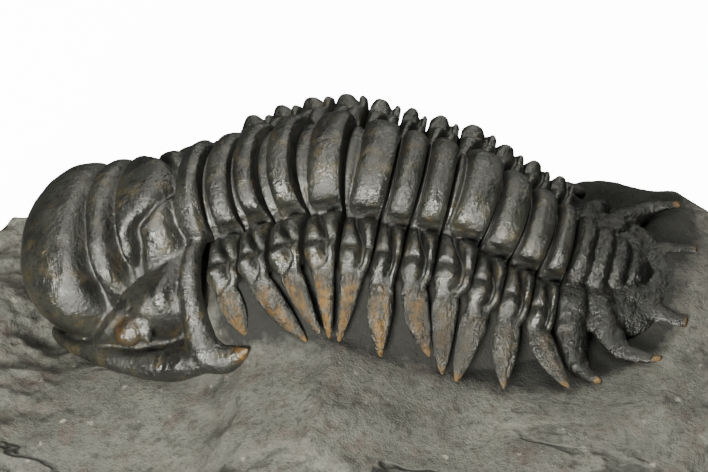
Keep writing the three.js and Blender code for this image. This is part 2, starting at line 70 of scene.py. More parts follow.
def slope_at(s):
    """Slope in radians: the steepest slope times distance over the hypotenuse of distance and bend."""
    s = np.asarray(s, float)
    head = np.radians(HEAD_SLOPE) * -s / np.hypot(s, HEAD_BEND)
    tail = -np.radians(TAIL_SLOPE) * s / np.hypot(s, TAIL_BEND)
    return np.where(s < 0, head, tail)


def through(points, at):
    """A curve through [place, value] points: each span is halfway between a straight line and an S."""
    x, v = np.array(points, float).T
    at = np.clip(np.asarray(at, float), x[0], x[-1])
    i = np.clip(np.searchsorted(x, at, side="right") - 1, 0, len(x) - 2)
    t = (at - x[i]) / (x[i + 1] - x[i])
    return v[i] + (v[i + 1] - v[i]) * 0.5 * (t + t * t * (3 - 2 * t))


STEP = 0.01
ALONG = np.arange(-4500, 5001) * STEP
HALFWAY = slope_at(ALONG[:-1] + STEP / 2)
LINE_X = np.concatenate([[0], np.cumsum(np.cos(HALFWAY) * STEP)])
LINE_Z = np.concatenate([[0], np.cumsum(np.sin(HALFWAY) * STEP)])
LINE_X -= np.interp(0, ALONG, LINE_X)
LINE_Z += through(LIFT, ALONG) - np.interp(0, ALONG, LINE_Z)


def place(points, s, angle):
    """From a plate's own frame to the line's: turned by the angle about y, then moved to the line at s."""
    x, y, z = points[..., 0], points[..., 1], points[..., 2]
    along, up = np.interp(s, ALONG, LINE_X), np.interp(s, ALONG, LINE_Z)
    cos, sin = np.cos(angle), np.sin(angle)
    return np.stack([along + x * cos - z * sin, y, up + x * sin + z * cos], -1)


def unplace(points, s, angle):
    """The other way: from the line's frame to a plate's own."""
    x, z = points[..., 0] - np.interp(s, ALONG, LINE_X), points[..., 2] - np.interp(s, ALONG, LINE_Z)
    cos, sin = np.cos(angle), np.sin(angle)
    return np.stack([x * cos + z * sin, points[..., 1], z * cos - x * sin], -1)


def segment_frame(k):
    """Station and lean of segment k: halfway between the two planes that part it from its neighbours."""
    s, lean = (np.array(PARTINGS[k - 1]) + PARTINGS[k]) / 2
    return s, np.radians(lean)


HEAD = CEPHALON_STATION, slope_at(CEPHALON_STATION)
TAIL = PYGIDIUM_STATION, -math.radians(PYGIDIUM_SLOPE)


def axis_size(k):
    """Share of full size of the axis at ring k."""
    return 1 - AXIS_TAPER * (np.asarray(k, float) / (SEGMENTS + 1)) ** 1.8


print("stations:", [round(segment_frame(k)[0], 1) for k in range(1, SEGMENTS + 1)])

# %% [markdown]
# ## Surfaces from nets of points
# A plate has ribs and furrows that run across it, so it is described by a few key sections. Subdivision
# would round them all alike. A spline through the sections in both directions passes through every point
# instead, and keeps a narrow furrow narrow.


# %% Splines, noise and meshes with whole arrays
def spline(net, per_span, axis=0, closed=False):
    """A Catmull-Rom curve through the net's points along one axis, with per_span steps between neighbours."""
    net = np.moveaxis(np.asarray(net, float), axis, 0)
    count = len(net)
    spans = count if closed else count - 1
    at = np.arange(spans * per_span + (0 if closed else 1)) / per_span
    i = np.minimum(at.astype(int), spans - 1)
    t = (at - i).reshape((-1,) + (1,) * (net.ndim - 1))
    pick = (lambda d: net[(i + d) % count]) if closed else (lambda d: net[np.clip(i + d, 0, count - 1)])
    a, b, c, d = pick(-1), pick(0), pick(1), pick(2)
    made = 0.5 * (2 * b + (c - a) * t + (2 * a - 5 * b + 4 * c - d) * t**2 + (3 * b - a - 3 * c + d) * t**3)
    return np.moveaxis(made, 0, axis)


def smoothstep(value, low, high):
    """0 below low, 1 above high, and an even S between them."""
    t = np.clip((np.asarray(value, float) - low) / (high - low), 0, 1)
    return t * t * (3 - 2 * t)


# Large odd numbers that scramble a point's three whole numbers, its seed and the outcome, kept to 32 bits
SCRAMBLE, SCRAMBLE_SEED, SCRAMBLE_LAST = np.array([374761393, 668265263, 1440662683]), 974634577, 1274126177
BITS_32 = 0xFFFFFFFF
LAYER_SHIFT = 17.3  # parts the layers of noise, so that their cells don't line up


def lattice_noise(points, seed=0):
    """Random numbers from -1 to 1 at whole-number points, eased between them in x, y and z."""
    cell = np.floor(points).astype(np.int64)
    f = points - cell
    f = f * f * f * (f * (f * 6 - 15) + 10)
    total = np.zeros(points.shape[:-1])
    for corner in range(8):
        step = np.array([corner & 1, corner >> 1 & 1, corner >> 2 & 1])
        c = cell + step
        h = ((c * SCRAMBLE).sum(-1) + seed * SCRAMBLE_SEED) & BITS_32
        h = ((h ^ (h >> 13)) * SCRAMBLE_LAST) & BITS_32
        h = (h ^ (h >> 16)) / BITS_32
        total += np.prod(np.where(step == 1, f, 1 - f), axis=-1) * (2 * h - 1)
    return total


def layered_noise(points, size, octaves=4, seed=0, rough=0.5):
    """Lattice noise of that size in mm, plus finer layers, each half the size and rough times as strong."""
    layers = (lattice_noise(points / (size * 0.5**n) + LAYER_SHIFT * n, seed + n) for n in range(octaves))
    return sum(rough**n * layer for n, layer in enumerate(layers))


def grid_faces(rows, columns, closed):
    """Four-cornered faces of a grid of points; a closed grid joins its last column to its first."""
    i, j = np.meshgrid(np.arange(rows - 1), np.arange(columns if closed else columns - 1), indexing="ij")
    a, b = i * columns + j, i * columns + (j + 1) % columns
    return np.stack([a, b, b + columns, a + columns], -1).reshape(-1, 4)


def tube(grid):
    """A closed tube from grid[along, round]: its points and faces, each end a fan to the loop's middle."""
    rows, columns = grid.shape[:2]
    points = np.concatenate([grid.reshape(-1, 3), [grid[0].mean(0)], [grid[-1].mean(0)]])
    j = np.arange(columns)
    last = (rows - 1) * columns
    ends = [np.stack([(j + 1) % columns, j, np.full(columns, rows * columns)], -1),
            np.stack([last + j, last + (j + 1) % columns, np.full(columns, rows * columns + 1)], -1)]
    return points, grid_faces(rows, columns, True).tolist() + np.concatenate(ends).tolist()


def solid_volume(points, faces):
    """Signed volume: the sum over triangles of corner . (corner x corner) / 6."""
    triangles = np.array([f[:3] for f in faces] + [[f[0], f[2], f[3]] for f in faces if len(f) == 4])
    a, b, c = (points[triangles[:, n]] for n in range(3))
    return np.einsum("ij,ij->", a, np.cross(b, c)) / 6


def make_piece(name, parts, node, values=None):
    """One object of one or more closed parts, in metres in the row frame, with named arrays of values."""
    points, faces = [], []
    for part_points, part_faces in parts:
        start = sum(len(p) for p in points)
        if solid_volume(part_points, part_faces) < 0:
            part_faces = [f[::-1] for f in part_faces]
        points.append(part_points)
        faces += [[start + v for v in f] for f in part_faces]
    mesh = bpy.data.meshes.new(name)
    mesh.from_pydata(((np.concatenate(points) + ORIGIN) * MM).tolist(), [], faces)
    mesh.shade_smooth()
    for attribute, array in (values or {}).items():
        mesh.attributes.new(attribute, "FLOAT", "POINT").data.foreach_set("value", array.astype(np.float32))
    piece = bpy.data.objects.new(name, mesh)
    bpy.context.scene.collection.objects.link(piece)
    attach(piece, "root")
    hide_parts(node)
    return piece


# %% [markdown]
# ## Thoracic segments
# Each segment is one plate: a hoop over the axis with a thin half ring in front of it, then on each side a
# pleura with two bosses parted by a slanting furrow, a bead where it bends down, and a flat blade-like
# spine. One net runs from the left spine's tip over the axis to the right spine's tip, so the plate is a
# single skin.

# %% The net of a segment
BAND_LENGTHS = [2.6, 2.3, 2.7, 3.6, 3.6, 3, 3.1, 3.7, 3.1, 2.7, 2.5]  # of rings 1 to 11
RING_CREST, RING_DEPTH, PLEURA_DEPTH = 0.9, 3.6, 1.7
SPINE_HALF_WIDTH, SPINE_THICKNESS = 1.45, 1.3
HALF_RING = [(0, -0.35), (0.35, -0.12), (0.8, -0.38)]
BAND = [(0.0, 0.1), (0.09, 0.6), (0.3, 0.98), (0.55, 1.0), (0.8, 0.84), (0.95, 0.5), (1.0, 0.05)]
UNDER = [(1.0, -0.5), (1.0, -1), (0.5, -1), (0.0, -1), (0.0, -0.5)]
RING_ANGLES = [-87, -82, -74, -60, -44, -28, -10, 10, 28, 44, 60, 74, 82, 87]
PLEURA = [(0.3, -0.95, 0.0), (1.0, -0.8, 0.55), (1.9, -0.65, 0.95), (2.9, -0.7, 1.0), (3.8, -0.8, 0.7),
          (4.5, -0.9, 0.3), (5.1, -0.95, 0.6), (5.7, -1.15, 0.95), (6.3, -1.65, 0.6)]
BEND_OUT, BEND_Z = 6.4, -2.2
SPINE = [(0.1, 0.92), (0.22, 1.0), (0.36, 1.02), (0.5, 0.96), (0.64, 0.82), (0.78, 0.6), (0.9, 0.36),
         (1.0, 0.08)]  # share of the spine's length, and of its half width there
SPINE_TIPS = np.array([  # of segments 1 to 11, in the line's frame
    (-7.1, 15, -12), (-0.4, 16, -10.6), (1.2, 16.5, -9.1), (2.1, 16.5, -9.1), (3.1, 16.5, -9.5),
    (7.7, 17, -10.6), (12.9, 17, -9.8), (14.3, 17, -12.4), (15.8, 17.2, -13.1), (21, 17.5, -13),
    (27.9, 17, -12.3)])
FAR_DROP = 2.6  # the rock and the spines reach this much lower on the far side


def edge_of(k, parting, clearance):
    """Where plate k ends along x at a height z: on its parting plane, less half the gap."""
    s, lean = PARTINGS[parting]
    corners = unplace(place(np.array([[0, 0, 0], [1.0, 0, 0]]), s, math.radians(lean)), *segment_frame(k))
    point, normal = corners[0], corners[1] - corners[0]
    return lambda z: (clearance + normal @ point - z * normal[2]) / normal[0]


def ring_net(k, front, back):
    """Sections round the hoop: a half ellipse of the ring's size, raised along its normal by the profile."""
    size = axis_size(k)
    half_width, height = AXIS_HALF_WIDTH * size, AXIS_HEIGHT * size - RING_CREST
    angle = np.radians(RING_ANGLES)[:, None]
    y, z = half_width * np.sin(angle), height * np.cos(angle)
    tilt = np.arctan2(np.sin(angle) / half_width, np.cos(angle) / height)
    crest = RING_CREST * (1 - 0.7 * smoothstep(np.abs(angle), math.radians(64), math.radians(88)))
    step = np.clip(1 - BAND_LENGTHS[k - 1] / (back(z) - front(z)), 0.12, 1)
    share = np.concatenate([step * [s for s, _ in HALF_RING], step + (1 - step) * [s for s, _ in BAND],
                            np.ones_like(step) * [s for s, _ in UNDER]], 1)
    under = np.ones_like(crest) * RING_DEPTH * [u for _, u in UNDER]
    up = np.concatenate([crest * [u for _, u in HALF_RING + BAND], under], 1)
    high = z + np.cos(tilt) * up
    return np.stack([front(high) + (back(high) - front(high)) * share, y + np.sin(tilt) * up, high], -1)


def pleura_net(k, front, back):
    """Sections across the pleura. A furrow slants back from the ring to the bend. Behind it is a boss that is
    strongest beside the ring, and in front of it one that grows outwards and ends in a bead at the bend."""
    out, z, boss = (np.array(column)[:, None] for column in zip(*PLEURA))
    tilt = np.radians(8 + 4 * out)
    furrow = 0.3 + 0.42 * smoothstep(out, 0.3, 5.2)
    before = boss * (0.5 + 0.65 * smoothstep(out, 0.8, 4.6))
    behind = boss * (1.1 - 0.5 * smoothstep(out, 2.6, 4.8))
    low = -0.28 * boss * (1 - smoothstep(out, 4.4, 5.7))
    one, rest = np.ones_like(out), 1 - furrow
    share = np.concatenate([0 * one, 0.1 * furrow, 0.34 * furrow, 0.7 * furrow, furrow - 0.04, furrow + 0.04,
                            furrow + 0.28 * rest, furrow + 0.62 * rest, furrow + 0.9 * rest, one, one, one,
                            0.5 * one, 0 * one, 0 * one], 1)
    up = np.concatenate([0 * one, 0.5 * before, before, 0.85 * before, low, low, 0.85 * behind, behind,
                         0.5 * behind, 0 * one] + [u * PLEURA_DEPTH * one for _, u in UNDER], 1)
    y = AXIS_HALF_WIDTH * axis_size(k) + out + np.sin(tilt) * up
    high = z + np.cos(tilt) * up
    return np.stack([front(high) + (back(high) - front(high)) * share, y, high], -1)


def spine_curve(k, share, drop):
    """A spine's centre line and direction: a parabola from the bend, first downwards, then to its tip."""
    t = np.asarray(share, float)[:, None]
    bend = np.array([0, AXIS_HALF_WIDTH * axis_size(k) + BEND_OUT, BEND_Z])
    tip = unplace(SPINE_TIPS[k - 1] - np.array([0, 1, 1]) * drop, *segment_frame(k))
    shoulder = bend + 0.45 * (tip - bend)
    shoulder = np.array([0.5 * shoulder[0], shoulder[1] + 0.6, shoulder[2]])
    centre = (1 - t) ** 2 * bend + 2 * t * (1 - t) * shoulder + t**2 * tip
    along = 2 * (1 - t) * (shoulder - bend) + 2 * t * (tip - shoulder)
    return centre, along / np.linalg.norm(along, axis=1, keepdims=True)


def spine_net(k, drop):
    """Sections along a spine: a lens with a low keel, as wide as its table and the room beside it allow."""
    share, wide = (np.array(column) for column in zip(*SPINE))
    centre, along = spine_curve(k, share, drop)
    back = np.array([1.0, 0, 0]) - along * along[:, :1]
    back /= np.linalg.norm(back, axis=1, keepdims=True)
    out = np.cross(back, along)
    here = place(centre, *segment_frame(k))
    near = [np.linalg.norm(place(spine_curve(n, share, drop)[0], *segment_frame(n)) - here, axis=1)
            for n in (k - 1, k + 1) if 1 <= n <= SEGMENTS]
    half = np.minimum(SPINE_HALF_WIDTH * wide, 0.92 * (np.min(near, axis=0) / 2 - PIECE_GAP / 2))
    thick = SPINE_THICKNESS * (0.15 + 0.85 * wide)
    return (centre[:, None] + back[:, None] * (half[:, None] * np.array(ACROSS))[..., None]
            + out[:, None] * (thick[:, None] * np.array(RISE))[..., None])


# A spine's section: across it, and its rise there
ACROSS = [-1, -0.93, -0.75, -0.45, -0.12, 0.12, 0.45, 0.75, 0.93, 1, 0.9, 0.6, 0, -0.6, -0.9]
RISE = [0, 0.22, 0.4, 0.5, 0.62, 0.62, 0.5, 0.4, 0.22, 0, -0.2, -0.45, -0.5, -0.45, -0.2]
BARE = [0.75, 0.7, 0.85, 1, 1, 0.8, 0.55, 0.2, 0.12, 0.15, 0.12]  # how bare the spine of each segment is
LUMP_SIZE, LUMP_DEPTH = 1.6, 0.05  # the plates aren't perfectly smooth


def segment_surface(k):
    """The refined net of segment k, its share of ochre (the middle of each spine, and all of its tip), and
    its share of spine."""
    front, back = edge_of(k, k - 1, PIECE_GAP / 2), edge_of(k, k, -PIECE_GAP / 2)
    pleura = pleura_net(k, front, back)
    near, far = (np.concatenate([pleura, spine_net(k, drop)]) for drop in (0, FAR_DROP))
    net = np.concatenate([(near * [1, -1, 1])[::-1], ring_net(k, front, back), far])
    along = np.concatenate([np.zeros(len(PLEURA)), [s for s, _ in SPINE]])
    along = spline(np.concatenate([along[::-1], np.zeros(len(RING_ANGLES)), along]), 4)[:, None]
    across = np.abs(spline(ACROSS, 4, closed=True))
    middle = 1 - smoothstep(across, 0.35, 0.85)
    ochre = np.maximum(BARE[k - 1] * middle * smoothstep(along, 0.08, 0.3), smoothstep(along, 0.85, 0.97))
    return spline(spline(net, 4, 0), 4, 1, closed=True), ochre, smoothstep(along, 0, 0.25) + 0 * across


segments = []
for k in range(1, SEGMENTS + 1):
    grid, ochre, spine = segment_surface(k)
    points, faces = tube(place(grid, *segment_frame(k)))
    lumps = layered_noise(points + 31.0 * k, LUMP_SIZE, 3, seed=k)
    points = points + LUMP_DEPTH * lumps[:, None] * [0, 0.5, 1]
    ochre, spine = (np.concatenate([values.reshape(-1), [1, 1]]) for values in (ochre, spine))
    name = f"thoracic_segment_{k:02d}"
    values = {"ochre": ochre, "spine": spine}
    segments.append(make_piece(f"shell_{name}", [(points, faces)], name, values))
print("segments:", len(segments), "faces each:", len(segments[0].data.polygons))

# %% [markdown]
# ## Head shield
# The head is one plate as well, but its swellings branch: the glabella down the middle, a cheek on each
# side, a rolled border round them, an eye with a rim behind it, and a genal spine. A single net would
# crease where they meet. Each swelling is a closed surface of its own, moved a little by noise because a
# fossil is never quite regular, and a fine voxel remesh melts them into one skin, as they grew.

# %% The glabella: an envelope with furrows cut round it
# Place along the head, then half width, height and depth of the section there
GLABELLA = [(-16.2, 11.1, 7.7, 10.6), (-14, 10.8, 7.55, 8.8), (-10.5, 9.7, 7.2, 5), (-7, 8.5, 6.6, 3.3),
            (-4, 7.6, 6.1, 3), (-1, 6.9, 5.8, 3), (1.7, 6.7, 5.7, 3)]
FURROWS = [(-1.7, 1.6, 0.5), (-6.1, 1.9, 0.6), (-8.9, 2.1, 0.55), (-12.7, 2.4, 0.65)]  # place, depth, width
LEANING_FURROW, LEAN_BACK, LEAN_FORWARD = 1, 4.3, 1.4  # it meets the neck furrow above, and leans ahead below
LOBE_FRONT, LOBE_CENTRE, LOBE_BACK, NECK_LEAN = -23.8, -16.2, 1.7, 0.19


def glabella_surface():
    """Each section is two half ellipses. Their sizes taper from the frontal lobe to the neck ring, fall to
    nothing round the front, and shrink by a narrow hollow at each furrow, which is deepest on the sides."""
    round_front = LOBE_FRONT + (LOBE_CENTRE - LOBE_FRONT) * (1 - np.cos(np.linspace(0.06, math.pi / 2, 60)))
    x = np.concatenate([round_front, np.linspace(LOBE_CENTRE, LOBE_BACK, 190)[1:]])
    ahead = (np.minimum(x, LOBE_CENTRE) - LOBE_CENTRE) / (LOBE_CENTRE - LOBE_FRONT)
    end = np.sqrt(np.clip(1 - ahead**2, 0, 1))
    back_end = 1 - 0.12 * smoothstep(x, 0.8, 1.7)
    keys, *sizes = np.array(GLABELLA).T
    width, height, depth = (np.interp(x, keys, size) * end for size in sizes)
    width, height = width * back_end, height * back_end
    angle = np.linspace(0, 2 * math.pi, 160, endpoint=False)
    cos, sin = np.cos(angle), np.sin(angle)
    cut = np.zeros((len(x), len(angle)))
    for n, (at, deep, wide) in enumerate(FURROWS):
        lean = 0.5 * cos**2
        if n == LEANING_FURROW:
            lean = LEAN_BACK * smoothstep(cos, 0.6, 0.97) - LEAN_FORWARD * (1 - smoothstep(cos, -0.1, 0.5))
        away = (x[:, None] - at - lean[None]) / wide
        strength = deep * (0.75 + 0.35 * np.abs(sin)[None]) * smoothstep(cos, -0.5, 0.1)[None]
        cut += strength * (0.75 * np.exp(-(away**2)) + 0.35 * np.exp(-((away / 2.6) ** 2)))
    y = (width[:, None] - cut) * sin
    z = np.where(cos > 0, (height[:, None] - cut) * cos, depth[:, None] * cos)
    return np.stack([x[:, None] + NECK_LEAN * smoothstep(x, -2.5, 1.5)[:, None] * z, y, z], -1)


# %% Cheeks, borders and eyes
CHEEK_INNER = [(-1.8, 6.2, -0.5), (-4.5, 7.2, -0.5), (-8.5, 8.6, -0.7), (-12, 10.2, -1.8), (-17.5, 8.6, -5),
               (-21, -0.6, -6)]
CHEEK_OUTER = [(-3, 14.2, -6.1), (-7.9, 14.3, -6.4), (-12, 13, -5.7), (-17, 10.8, -5), (-20.5, 7, -4.8),
               (-22, -0.6, -6.4)]
CHEEK_ACROSS = [(0, 0.1), (0.14, 1.0), (0.38, 1.9), (0.6, 1.9), (0.78, 1.2), (0.9, 0.2), (1, 0)]
CHEEK_THICKNESS, CHEEK_SINK, EYE_HOLLOW, SWELL_BEHIND_EYE = 3.2, 2.5, 2.6, 0.8
EYE_PLACE, EYE_RADII = np.array([-10.1, 13.1, -3.4]), np.array([1.8, 1.6, 1.5])
EYE_RIM = [(-10.6, 11.3, -2.1, 0.4), (-9.3, 11.5, -2.2, 0.6), (-8.4, 12.4, -3, 0.75), (-8.2, 13.3, -4.1, 0.7),
           (-8.7, 13.9, -5.1, 0.4)]
BACK_BORDER = [(-0.1, 6.2, -0.7, 0.9), (-0.8, 8.6, -0.9, 1.15), (-1.8, 11.2, -2.9, 1.3),
               (-2.3, 13.3, -5.5, 1.6), (-2.6, 15, -8, 2.1), (-0.9, 15.9, -9.2, 1.75), (1, 16.3, -9.2, 1.15),
               (3, 16.6, -8.7, 0.2)]
SIDE_BORDER = [(-1.9, 15.4, -8.5, 1.9), (-7.5, 15.1, -8.2, 1.8), (-12, 13.9, -6.9, 1.5),
               (-17, 11.6, -5.4, 1.1), (-21.8, 8.2, -4.5, 0.7), (-24.1, 4, -5.4, 0.7),
               (-24.4, -0.6, -6.4, 0.7)]


def cheek_surface(side):
    """Straight lines from the furrow beside the glabella to the border, raised by a swell that fades towards
    the front, with a hollow between the eye and the back border."""
    inner, outer = spline(CHEEK_INNER, 12), spline(CHEEK_OUTER, 12)
    share, swell = spline(CHEEK_ACROSS, 8).T
    across = outer - inner
    outwards = np.stack([0 * across[:, 0], -across[:, 2], across[:, 1]], -1)
    outwards /= np.linalg.norm(outwards, axis=1, keepdims=True)
    along = np.linspace(0, 1, len(inner))
    fade = (0.1 + 0.9 * smoothstep(along, 0, 0.15)) * (1 - smoothstep(along, 0.52, 0.72))
    behind_eye = (1 - smoothstep(along, 0.22, 0.36))[:, None]
    hollow = EYE_HOLLOW * np.exp(-(((share - 0.87) / 0.13) ** 2))
    hollow = hollow * smoothstep(along, 0.02, 0.1)[:, None] * behind_eye
    more = SWELL_BEHIND_EYE * behind_eye * np.exp(-(((share - 0.42) / 0.22) ** 2))
    raised = fade[:, None] * (swell + more) - hollow
    top = inner[:, None] + across[:, None] * share[:, None] + outwards[:, None] * raised[..., None]
    under = inner[:, None] + across[:, None] * share[::-1, None]
    under = under - outwards[:, None] * CHEEK_THICKNESS - [0, 0, CHEEK_SINK]
    return np.concatenate([top, under], 1) * [1, side, 1]


def rod_surface(points, side, flat=1.0, per_span=10, sides=32):
    """A rod through [x, y, z, radius] points: circles square to its centre line, flat times as high."""
    fine = spline(points, per_span)
    centre, radius = fine[:, :3] * [1, side, 1], np.maximum(fine[:, 3], 0.05)
    along = np.gradient(centre, axis=0)
    along /= np.linalg.norm(along, axis=1, keepdims=True)
    across = np.stack([-along[:, 1], along[:, 0], 0 * along[:, 0]], -1)
    across /= np.linalg.norm(across, axis=1, keepdims=True)
    up = np.cross(across, along) * flat
    angle = np.linspace(0, 2 * math.pi, sides, endpoint=False)
    ring = across[:, None] * np.cos(angle)[:, None] + up[:, None] * np.sin(angle)[:, None]
    return centre[:, None] + ring * radius[:, None, None]


def ball_surface(centre, radii, rows=40, columns=64):
    """An ellipsoid: circles of latitude, each the sine of its angle wide."""
    down = np.linspace(0.05, math.pi - 0.05, rows)[:, None]
    turn = np.linspace(0, 2 * math.pi, columns, endpoint=False)[None]
    unit = np.stack([np.sin(down) * np.cos(turn), np.sin(down) * np.sin(turn), np.cos(down) + 0 * turn], -1)
    return centre + unit * radii


def worn(points, depth, size, seed):
    """The points moved up and sideways by noise of the given depth, so that no surface stays ideal."""
    shift = [layered_noise(points, size, 3, seed=seed + n)[:, None] for n in range(2)]
    return points + depth * (shift[0] * [0, 0, 1] + shift[1] * [0.5, 0.5, 0])


def melt(piece, voxel, rounds):
    """Live modifiers: a voxel remesh makes the parts one skin, and smoothing rounds the steps it leaves."""
    remesh = piece.modifiers.new("one_skin", "REMESH")
    remesh.mode, remesh.voxel_size, remesh.use_smooth_shade = "VOXEL", voxel * MM, True
    smooth = piece.modifiers.new("soften", "SMOOTH")
    smooth.factor, smooth.iterations = 0.5, rounds
    return piece


HEAD_WEAR = {"depth": 0.09, "size": 2.2, "seed": 3}
HEAD_VOXEL = 0.216  # fine enough for the eye rim, and the head stays under 200,000 triangles
head_parts = [glabella_surface()]
for side in (-1, 1):
    head_parts += [cheek_surface(side), rod_surface(BACK_BORDER, side), rod_surface(SIDE_BORDER, side),
                   rod_surface(EYE_RIM, side), ball_surface(EYE_PLACE * [1, side, 1], EYE_RADII)]
head_parts = [tube(grid) for grid in head_parts]
head_parts = [(place(worn(points, **HEAD_WEAR), *HEAD), faces) for points, faces in head_parts]
cephalon = melt(make_piece("shell_cephalon", head_parts, "cephalon"), HEAD_VOXEL, 4)
print("head parts melted:", len(head_parts))

# %% [markdown]
# ## Tail shield
# The pygidium ends the animal: a short axis of three rings and a stub, on a small plate that frays into
# three pairs of curved spines. It is made like the head, from swellings melted into one skin.

# %% The pygidium
TAIL_AXIS = [(-1, 4.2, 2.9), (-0.5, 4.7, 3.7), (0.5, 4.7, 3.8), (1.3, 4, 3.1), (1.9, 4.3, 3.4),
             (2.8, 4.2, 3.3), (3.5, 3.5, 2.6), (4.1, 3.7, 2.8), (4.9, 3.5, 2.6), (5.5, 2.8, 2), (6.2, 2.8, 2),
             (7.4, 2, 1.4), (8.4, 0.7, 0.5)]  # place, half width, height
TAIL_SPINES = [
    [(-0.2, 3, -0.5, 1.2), (0.2, 6.4, -1, 1.7), (0.9, 9.6, -2.4, 1.85), (2.2, 13, -3.2, 1.4),
     (4.8, 16, -1.9, 0.35)],
    [(2.2, 2.6, -0.5, 1.2), (3.2, 5.4, -1, 1.7), (4.8, 8.4, -1.8, 1.7), (7, 10.9, -1.5, 1.1),
     (10.4, 12, 0.1, 0.35)],
    [(4.6, 1.8, -0.5, 1.2), (6.4, 3.2, -0.9, 1.5), (8.6, 4.4, -1, 1.2), (10.8, 5.1, -0.6, 1),
     (12.9, 5.4, -0.1, 0.75)]]
FAR_SPINE = [(x + 0.35, 0.95 * y, z - 1.3 * (y / 16) ** 2, 0.92 * radius)  # lower and a little further back
             for x, y, z, radius in TAIL_SPINES[0]]
TAIL_PLATE = [(-1, 8.4), (1, 9), (4, 9), (7, 8.2), (9.3, 6.6), (10.7, 4.6), (11.4, 2.2)]  # place, half width
TAIL_SECTION = [(-1, -1.9), (-0.75, -0.6), (-0.3, 0.1), (0.3, 0.1), (0.75, -0.6), (1, -1.9), (0.6, -2.4),
                (-0.6, -2.4)]
TAIL_WEAR = {"depth": 0.22, "size": 1.5, "seed": 5}


def tail_axis_surface():
    """Half ellipses over a flat floor, sized by a spline through the ring table."""
    x, half_width, height = spline(TAIL_AXIS, 8).T
    angle = np.linspace(0, 2 * math.pi, 96, endpoint=False)
    cos, sin = np.cos(angle), np.sin(angle)
    z = np.where(cos > 0, height[:, None] * cos, 1.5 * cos) - 0.3
    return np.stack([np.broadcast_to(x[:, None], z.shape), half_width[:, None] * sin, z], -1)


def tail_plate_surface():
    """A low plate: one section scaled to the plate's half width at each place."""
    across, up = spline(TAIL_SECTION, 8, closed=True).T
    x, half = (column[:, None] for column in spline(TAIL_PLATE, 8).T)
    return np.stack([x + 0 * across, half * across, up + 0 * x], -1)


tail_parts = [tail_axis_surface(), tail_plate_surface()]
tail_parts += [rod_surface(points, -1, 0.75) for points in TAIL_SPINES]
tail_parts += [rod_surface(points, 1, 0.75) for points in [FAR_SPINE] + TAIL_SPINES[1:]]
tail_parts = [tube(grid) for grid in tail_parts]
tail_parts = [(place(worn(points, **TAIL_WEAR), *TAIL), faces) for points, faces in tail_parts]
pygidium = melt(make_piece("shell_pygidium", tail_parts, "pygidium"), 0.16, 3)
print("tail parts melted:", len(tail_parts))

# %% [markdown]
# ## The block of rock
# The preparer cut the limestone down to a smooth slope round the animal and left the natural broken surface
# further out. A sculpted mesh would need a brush, and a displacement texture can't follow the animal. So
# the top is a height worked out for each point of a fine grid, and noise of the right strength is added
# where it is rough.

# %% The height of the rock
BLOCK_X, BLOCK_BASE = (-45.0, 46.0), -31.0
NEAR_EDGE = [(-45, -25), (-38, -34), (-24, -36), (0, -34.5), (24, -33.5), (39, -30), (46, -21)]
FAR_EDGE = [(-45, 2), (-38, 11), (-24, 16.5), (-5, 20), (10, 20), (24, 17), (31, 17.6), (36, 17.3),
            (39, 15.6), (46, 9)]
GROUND = [(-45, -23.6), (-37, -21.2), (-29, -22), (-19, -20), (-12, -18.8), (-10.2, -17.8), (-8.5, -16),
          (-6.8, -13.6), (-4, -12.4), (-0.4, -11.3), (2, -10), (8, -11.6), (13, -13), (20, -14.2),
          (28, -13.6), (38, -12.8), (46, -14.5)]
FRONT_HOLLOW = (-29.5, 8, 2.2, 5.5)  # beside the front of the head: x, y, depth, radius
LEFT_MOUND = (25, 14, 3, 4.5, 3)  # behind the last spines on the far side: x, y, height, reach in x and y
# How far the rock lies under the body line, by the distance from the furrow beside the axis
BED = [(-7, -2.2), (-3.4, -1.4), (-1.2, 0.7), (0, 2), (3.3, 2.6), (6.4, 3.4), (8, 7.2), (9.6, 9.8),
       (11.1, 11)]


def undulation(x, y):
    """Two slow waves that bend each other, between -1 and 1."""
    return 0.5 * np.sin(0.33 * x + 1.7 * np.sin(0.16 * y + 1.1)) + 0.5 * np.sin(0.29 * y - 0.21 * x + 2.3)


def mix(a, b, share):
    """From a at share 0 to b at share 1."""
    return a + (b - a) * share


def rock_height(x, y):
    """The ground beside the animal, the bed that rises inside it, and slow waves that grow outwards. Each
    is mixed into the next by an S of the distance from the head, the tail or the axis."""
    across = np.abs(y)
    hollow_x, hollow_y, depth, radius = FRONT_HOLLOW
    hollow = depth * np.exp(-(((x - hollow_x) ** 2 + (across - hollow_y) ** 2) / radius**2))
    ground = through(GROUND, x) - hollow
    floor = ground - FAR_DROP * smoothstep(y, 9, 15) * (1 - smoothstep(x, 23, 30))
    line = np.interp(np.clip(x, -14, 36), LINE_X, LINE_Z)
    furrow = AXIS_HALF_WIDTH * axis_size(np.clip((x + 14) / 3.4, 0, SEGMENTS + 1))
    bed = np.maximum(line - through(BED, across - furrow), floor)
    head = ground + 3.2 * (1 - smoothstep(across, 3, 12)) * smoothstep(x, -27, -20)
    inside = mix(head, bed, smoothstep(x, -17, -9))
    inside = mix(inside, ground + 1.2 * (1 - smoothstep(across, 2, 9)), smoothstep(x, 29, 37))
    surface = mix(inside, floor - 0.1 * np.maximum(0, across - 18), smoothstep(across, 15, 18))
    mound_x, mound_y, height, long, wide = LEFT_MOUND
    surface = surface + height * np.exp(-(((x - mound_x) / long) ** 2 + ((y - mound_y) / wide) ** 2))
    far_out = np.maximum(smoothstep(-x, 28, 36), smoothstep(x, 39, 43))
    far_out = np.maximum(far_out, smoothstep(across, 19, 27))
    return surface + 0.7 * mix(0.25, 1, far_out) * undulation(x, y)


